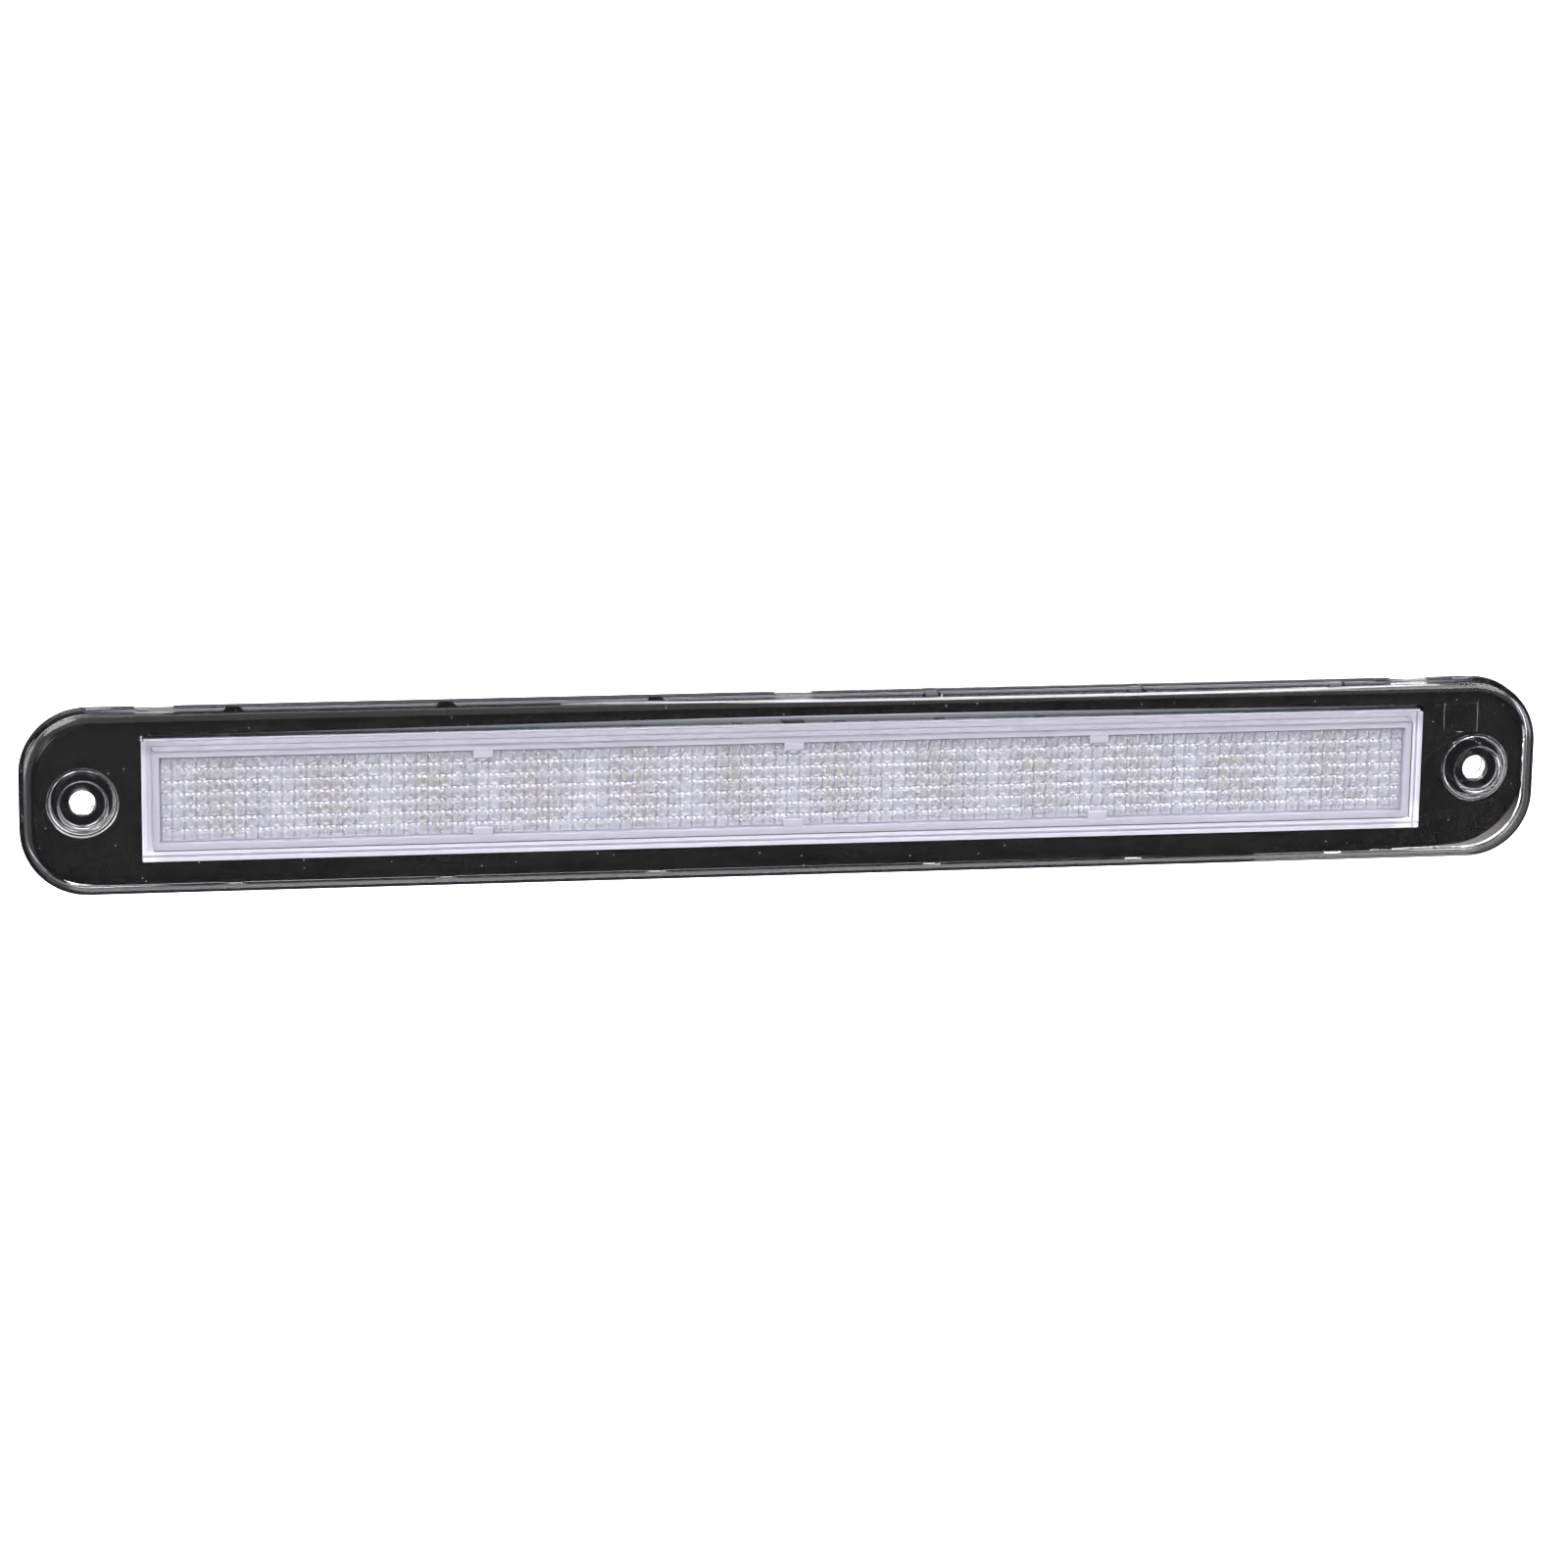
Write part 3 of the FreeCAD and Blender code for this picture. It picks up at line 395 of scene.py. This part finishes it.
for x in (-tab_pitch, 0, tab_pitch):
    for side in (-1, 1):
        tab = slab(1.9 * MM, 0.8 * MM, ridge_low[1], ridge_low[1] + tab_depth)
        rim = [e for e in tab.edges if abs(e.verts[0].co.y - e.verts[1].co.y) < 1e-9
               and e.verts[0].co.y < ridge_low[1] + 1e-6]
        bmesh.ops.bevel(tab, geom=rim, offset=0.15 * MM, segments=2, profile=0.5,
                        affect="EDGES", material=-1)
        bmesh.ops.translate(tab, vec=(x, 0, side * (optic_half.y - 0.65 * MM)), verts=tab.verts)
        piece = bpy.data.meshes.new("tab")
        tab.to_mesh(piece)
        tab.free()
        ring.from_mesh(piece)
        bpy.data.meshes.remove(piece)

# Satin ABS: an even lilac-grey with a soft sheen.
lilac = grained("abs_lilac_grey_satin", "#AAA8B3", "#B3B1BC", 9 * MM, 0.35, relief=0.01 * MM)
mesh_piece(ring, "optic_frame_moulding", lilac, ["optic_frame"])

# ---------------------------------------------------------------------------
# Inner optic. A clear acrylic plate whose front is a field of square pillows,
# 105 along the lamp and 7 up, which spread each diode's light. The moulding is
# glossy; the grooves between the pillows are darkened with painted shade.

columns, rows, fineness = 105, 7, 6
optic_front, optic_back = optic_low[1] + 0.05 * MM, optic_high[1] - 0.12 * MM
pillow_rise = 0.8 * MM
random.seed(12)
optic = bmesh.new()
bmesh.ops.create_grid(optic, x_segments=columns * fineness, y_segments=rows * fineness, size=1.0)
bmesh.ops.rotate(optic, cent=(0, 0, 0), matrix=Matrix.Rotation(math.pi / 2, 3, "X"),
                 verts=optic.verts)
wobble = [[(random.uniform(-0.15, 0.15), random.uniform(-0.15, 0.15)) for row in range(rows)]
          for column in range(columns)]
for v in optic.verts:
    column = round((v.co.x + 1) / 2 * columns * fineness)
    row = round((v.co.z + 1) / 2 * rows * fineness)
    u = 2 * (column % fineness) / fineness - 1
    w = 2 * (row % fineness) / fineness - 1
    lean, tilt = wobble[column // fineness % columns][row // fineness % rows]
    sink = 0.3 * (u * u + w * w) + 0.2 * max(u ** 4, w ** 4)
    sink += (lean * u + tilt * w) * (1 - u * u) * (1 - w * w)
    v.co = Vector((v.co.x * optic_half.x, optic_front + pillow_rise * sink,
                   v.co.z * optic_half.y))
# Corner colours: red marks the grooves for painted shade, green gives each pillow a random tone,
# blue marks a painted warm tint near each diode.
pillow_painted_light_and_tone = optic.loops.layers.float_color.new("pillow_painted_light_and_tone")
chance = [[random.random() for row in range(rows)] for column in range(columns)]
for face in optic.faces:
    middle = face.calc_center_median()
    column = int((middle.x / optic_half.x + 1) / 2 * columns)
    row = int((middle.z / optic_half.y + 1) / 2 * rows)
    from_diode = (middle.x / (20 * MM)) % 1 - 0.42
    # Painted light: a warm tint near each diode's centre stands in for its phosphor seen through
    # the pillows.
    painted_diode_tint = math.exp(-(from_diode / 0.16) ** 2 - (middle.z / (6 * MM)) ** 2)
    for loop in face.loops:
        u = ((loop.vert.co.x / optic_half.x + 1) / 2 * columns - column) * 2 - 1
        w = ((loop.vert.co.z / optic_half.y + 1) / 2 * rows - row) * 2 - 1
        loop[pillow_painted_light_and_tone] = (max(abs(u), abs(w)) ** 5, chance[column][row], painted_diode_tint, 1.0)
border = [e for e in optic.edges if e.is_boundary]
walls = bmesh.ops.extrude_edge_only(optic, edges=border)
for v in walls["geom"]:
    if isinstance(v, bmesh.types.BMVert):
        v.co.y = optic_back
bmesh.ops.contextual_create(optic, geom=[e for e in optic.edges if e.is_boundary])

# Clear acrylic under a glossy skin; painted shade darkens the grooves, each pillow takes a random
# tone, and a warm painted tint lies near each diode.
pillow_acrylic, tree, skin = new_material("clear_acrylic_pillows", Transmission_Weight=0.73,
                                          Roughness=0.02, IOR=1.49, Coat_Weight=0.7,
                                          Coat_IOR=1.9, Coat_Roughness=0.02)
painted = add(tree, "ShaderNodeVertexColor", layer_name="pillow_painted_light_and_tone")
parts = add(tree, "ShaderNodeSeparateColor", {"Color": painted.outputs["Color"]})
glass = add(tree, "ShaderNodeMix", {"Factor": parts.outputs["Green"], "A": linear("#F7F7FC"),
                                    "B": linear("#FFFFFF")}, data_type="RGBA")
# Painted light: the warm diode tint is mixed in here.
with_painted_diode_tint = add(tree, "ShaderNodeMix", {"Factor": parts.outputs["Blue"], "A": glass.outputs["Result"],
                                   "B": linear("#F6F2EC")}, data_type="RGBA")
# Painted shade: the grooves are darkened towards grey-blue.
groove_painted_shade = add(tree, "ShaderNodeMix", {"Factor": parts.outputs["Red"], "A": with_painted_diode_tint.outputs["Result"],
                                    "B": linear("#C6C7D2")}, data_type="RGBA")
tree.links.new(groove_painted_shade.outputs["Result"], skin.inputs["Base Color"])
mesh_piece(optic, "inner_optic_pillows", pillow_acrylic, ["inner_optic"], sharp=20)

# ---------------------------------------------------------------------------
# Reflector. ABS under a film of vaporised aluminium. Each of the twelve cups is
# cut into small flat facets, which break the reflection up into sparks.

diode_count, diode_pitch = 12, 20 * MM
facet_rows, facets_round = 6, 22
bowl_radius, bowl_centre_r, bowl_centre_y = 14.0, -6.07, -1.90
mouth_turn, throat_turn = 7.76, 49.5
cups = bmesh.new()
for number in range(diode_count):
    centre = Vector(((number - (diode_count - 1) / 2) * diode_pitch, ridge_high[1] + 0.1 * MM, 0))
    rings = []
    for step in range(facet_rows + 1):
        turn = math.radians(mouth_turn + (throat_turn - mouth_turn) * step / facet_rows)
        radius = (bowl_centre_r + bowl_radius * math.cos(turn)) * MM
        depth = (bowl_centre_y + bowl_radius * math.sin(turn)) * MM
        around = []
        for side in range(facets_round):
            angle = math.tau * (side + 0.5 * (step % 2)) / facets_round
            r = radius - (random.uniform(0.0, 0.1) * MM if 0 < step < facet_rows else 0.0)
            around.append(cups.verts.new(centre + Vector((r * math.cos(angle), depth,
                                                          r * math.sin(angle)))))
        rings.append(around)
    for near, far in zip(rings, rings[1:]):
        for i in range(facets_round):
            j = (i + 1) % facets_round
            cups.faces.new((near[i], near[j], far[j], far[i]))
# Vaporised aluminium: a bright mirror on the facets, satin on the flat rim.
aluminium = grained("aluminium_film_bright", "#E6E9F0", "#F6F8FC", 3 * MM, 0.1, metallic=1.0)
mesh_piece(cups, "reflector_cup_facets", aluminium, sharp=1)
satin_film = grained("aluminium_film_satin", "#F0F2F8", "#FAFBFE", 6 * MM, 0.3, metallic=0.25,
                     relief=0.01 * MM)
dress(satin_film, "reflector")

# ---------------------------------------------------------------------------
# Housing. A light grey ABS box, ultrasonically welded to the lens collar. A thin
# white ring, a painted highlight for the collar's edge, runs round a narrow lilac land.

for name, outer, inner, dark, light in (
        # The first ring is white as a painted highlight along the collar's edge; the second is the
        # lilac land.
        ("housing_painted_edge_highlight", 0.35, 0.42, "#EFEEF5", "#FAFAFE"),
        ("housing_weld_land", 0.42, 1.1, "#BDBBC7", "#C6C4D0")):
    bead = slab(collar_half.x - outer * MM, collar_half.y - outer * MM,
                house_low[1] - 0.06 * MM, house_low[1] - 0.01 * MM)
    inside = slab(collar_half.x - inner * MM, collar_half.y - inner * MM,
                  house_low[1] - 1 * MM, house_low[1] + 1 * MM)
    bead = combine(bead, [inside], "DIFFERENCE")
    mesh_piece(bead, name, grained("abs_" + name, dark, light, 2 * MM, 0.4))

dress(grained("abs_light_grey_moulded", "#A8A6B1", "#B1AFBA", 12 * MM, 0.5, relief=0.03 * MM),
      "housing")

# ---------------------------------------------------------------------------
# Top ledge. A thin strip of ABS above the window, a shade bluer than the box, with
# a short gap at each diode and a longer one in the middle.

ledge = slab(collar_half.x - 0.6 * MM, 0.16 * MM, plate_back + 0.2 * MM, house_low[1] - 0.1 * MM)
gaps = []
for number in range(diode_count):
    gap = slab(1.1 * MM, 0.5 * MM, plate_back + 1.2 * MM, plate_back + 3.4 * MM, 0.2 * MM, 2)
    gap_x = (number - (diode_count - 1) / 2) * diode_pitch - 1.0 * MM
    bmesh.ops.translate(gap, vec=(gap_x, 0, 0), verts=gap.verts)
    gaps.append(gap)
gaps.append(slab(2.3 * MM, 0.5 * MM, plate_back + 0.8 * MM, plate_back + 4.6 * MM, 0.2 * MM, 2))
ledge = combine(ledge, gaps, "DIFFERENCE")
bmesh.ops.translate(ledge, vec=(0, 0, collar_half.y + 0.2 * MM), verts=ledge.verts)
ledge_abs = grained("abs_blue_grey_moulded", "#B4B8C4", "#C0C4CF", 8 * MM, 0.45)
mesh_piece(ledge, "housing_top_ledge", ledge_abs)

# ---------------------------------------------------------------------------
# Circuit board with its diodes and driver parts. White solder mask over glass
# fibre; everything on it is machine-placed and soldered.

dress(grained("solder_mask_white", "#E8E9E6", "#F1F2EF", 7 * MM, 0.3), "circuit_board")
dress(grained("diode_package_white", "#E6E1D2", "#F0ECE0", 1 * MM, 0.45), "led_bodies")
dress(grained("diode_phosphor_epoxy", "#E3C878", "#EBD590", 0.8 * MM, 0.2,
              Transmission_Weight=0.3), "led_domes")
dress(grained("tin_bright", "#BFC1C4", "#D2D4D6", 1 * MM, 0.28, metallic=1.0),
      "led_leads", "pin_solder_joints", "terminal_pin_positive", "terminal_pin_ground")
dress(grained("chip_epoxy_black", "#161616", "#202020", 1 * MM, 0.5, relief=0.01 * MM),
      "series_resistors", "string_regulators", "polarity_diode", "surge_suppressor")
dress(grained("chip_ceramic_tan", "#8E7352", "#A08463", 1 * MM, 0.5), "filter_capacitors")
dress(grained("zinc_plated_steel", "#B9BCC4", "#CDD0D6", 1 * MM, 0.3, metallic=1.0),
      "board_screws")

# ---------------------------------------------------------------------------
# Connector socket on the back, glass-filled black PBT, on a flat rubber seal.

dress(grained("pbt_black_moulded", "#101012", "#1B1B1E", 4 * MM, 0.5, relief=0.03 * MM),
      "connector_socket")
dress(grained("rubber_black_matt", "#0C0C0C", "#151515", 3 * MM, 0.8, relief=0.02 * MM),
      "connector_seal")

# ---------------------------------------------------------------------------
# Vent. A black polypropylene plug that carries a white membrane, so that the
# lamp can breathe without letting water in.

dress(grained("polypropylene_black", "#121214", "#1D1D20", 3 * MM, 0.45, relief=0.02 * MM),
      "vent_plug")
dress(grained("ptfe_membrane_white", "#DCDCD8", "#EEEEEA", 0.4 * MM, 0.9), "vent_membrane")

# ---------------------------------------------------------------------------
# Studio. A plain pale floor and an even white surround. Soft patches of light
# stand in front and to the sides, and one dark patch is what the flat face mirrors.

floor = bpy.data.meshes.new("studio_floor")
bm = bmesh.new()
bmesh.ops.create_grid(bm, x_segments=1, y_segments=1, size=3.0)
bmesh.ops.translate(bm, vec=(0, 2.6, -0.2), verts=bm.verts)
bm.to_mesh(floor)
bm.free()
floor_piece = bpy.data.objects.new("studio_floor", floor)
bpy.context.collection.objects.link(floor_piece)
white, tree, skin = new_material("studio_white", Base_Color=linear("#FFFFFF"), Roughness=0.8,
                                 Emission_Color=linear("#FFFFFF"), Emission_Strength=0.9)
floor.materials.append(white)
floor_piece.visible_transmission = floor_piece.visible_glossy = False
floor_piece.visible_diffuse = False

world = bpy.data.worlds.new("studio")
bpy.context.scene.world = world
world.use_nodes = True
tree = world.node_tree
background = tree.nodes["Background"]
look = add(tree, "ShaderNodeTexCoord").outputs["Generated"]


def cone(direction, wide, narrow):
    """1 inside the narrow angle round a direction, falling to 0 at the wide one."""
    along = add(tree, "ShaderNodeVectorMath", {0: look, 1: Vector(direction).normalized()},
                operation="DOT_PRODUCT")
    return add(tree, "ShaderNodeMapRange", {"Value": along.outputs["Value"],
                                            "From Min": math.cos(math.radians(wide)),
                                            "From Max": math.cos(math.radians(narrow))},
               interpolation_type="SMOOTHSTEP").outputs["Result"]


def mixed(factor, low, high):
    return add(tree, "ShaderNodeMix", {"Factor": factor, "A": low, "B": high},
               data_type="FLOAT").outputs["Result"]


split = add(tree, "ShaderNodeSeparateXYZ", {"Vector": look})
front = add(tree, "ShaderNodeMapRange", {"Value": split.outputs["Y"], "From Min": 0.05,
                                         "From Max": -0.25}).outputs["Result"]
level = mixed(front, 0.014, 1.0)
for towards, strength in (((-0.45, -0.55, 0.75), 9.0), ((0.5, -0.5, 0.7), 7.0),
                          ((-0.93, -0.35, 0.1), 5.0), ((0.95, -0.3, 0.15), 5.0),
                          ((0.1, -0.45, -0.9), 4.0)):
    level = mixed(cone(towards, 21, 13), level, strength)
level = mixed(cone((0.165, -0.957, -0.237), 32, 18), level, 0.03)
level = mixed(cone((0.0, 0.35, 0.94), 36, 22), level, 0.12)
ray = add(tree, "ShaderNodeLightPath")
tree.links.new(mixed(ray.outputs["Is Camera Ray"], level, 1.0), background.inputs["Strength"])
tint = add(tree, "ShaderNodeMix", {"Factor": front, "A": (0.8, 0.88, 1.1, 1.0),
                                   "B": (1.0, 0.985, 1.02, 1.0)}, data_type="RGBA")
plain = add(tree, "ShaderNodeMix", {"Factor": ray.outputs["Is Camera Ray"],
                                    "A": tint.outputs["Result"], "B": (1.0, 1.0, 1.0, 1.0)},
            data_type="RGBA")
tree.links.new(plain.outputs["Result"], background.inputs["Color"])


def softbox(name, place, target, width, height, power):
    light = bpy.data.lights.new(name, "AREA")
    light.shape = "RECTANGLE"
    light.size, light.size_y, light.energy = width, height, power
    item = bpy.data.objects.new(name, light)
    bpy.context.collection.objects.link(item)
    item.location = place
    item.rotation_euler = (Vector(target) - Vector(place)).to_track_quat("-Z", "Y").to_euler()
    return item


softbox("overhead_softbox", (0.0, -0.35, 1.0), (0, 0, 0), 1.2, 0.5, 3)
fill = softbox("rear_fill", (0.0, 0.9, 0.8), (0, 0, 0), 0.8, 0.8, 11)
fill.visible_transmission = fill.visible_glossy = False

# Two pale cards behind the lamp, seen only through its clear rim.
for name, left, right, low, high, dark_end, strength in (
        ("reflector_card_right", 105, 185, -46, -16, -16, 0.42),
        ("reflector_card_left", -172, -124, -3, 14, -3, 0.3)):
    bm = bmesh.new()
    corners = [bm.verts.new((x * MM, 40 * MM, z * MM))
               for x, z in ((left, low), (right, low), (right, high), (left, high))]
    bm.faces.new(corners)
    card_mesh = bpy.data.meshes.new(name)
    bm.to_mesh(card_mesh)
    bm.free()
    card = bpy.data.objects.new(name, card_mesh)
    bpy.context.collection.objects.link(card)
    card_skin, tree, skin = new_material(name, Base_Color=linear("#000000"), Roughness=1.0,
                                         Specular_IOR_Level=0.0,
                                         Emission_Color=linear("#F2ECEA"))
    place = add(tree, "ShaderNodeTexCoord").outputs["Object"]
    height = add(tree, "ShaderNodeSeparateXYZ", {"Vector": place}).outputs["Z"]
    far_end = low if dark_end == high else high
    fade = add(tree, "ShaderNodeMapRange", {
        "Value": height, "From Min": dark_end * MM,
        "From Max": (dark_end + 0.45 * (far_end - dark_end)) * MM, "To Max": strength})
    tree.links.new(fade.outputs["Result"], skin.inputs["Emission Strength"])
    card_mesh.materials.append(card_skin)
    card.visible_camera = card.visible_glossy = card.visible_diffuse = False

azimuth, elevation, roll = math.radians(-9.72), math.radians(13.69), math.radians(0.85)
reach = 1.0153
aim = Vector((-1.27 * MM, 0, -0.78 * MM))
outward = Vector((math.sin(azimuth) * math.cos(elevation),
                  -math.cos(azimuth) * math.cos(elevation), math.sin(elevation)))
camera_data = bpy.data.cameras.new("camera")
camera_data.sensor_width = 36.0
camera_data.lens = 118.76
camera = bpy.data.objects.new("camera", camera_data)
bpy.context.collection.objects.link(camera)
turn = (-outward).to_track_quat("-Z", "Y").to_matrix().to_4x4()
camera.matrix_world = (Matrix.Translation(aim + outward * reach) @ turn
                       @ Matrix.Rotation(roll, 4, "Z"))
bpy.context.scene.camera = camera
bpy.context.scene.view_settings.view_transform = "Standard"
bpy.context.scene.cycles.max_bounces = 24
bpy.context.scene.cycles.glossy_bounces = 16
bpy.context.scene.cycles.blur_glossy = 0.0
bpy.context.scene.cycles.transmission_bounces = 24
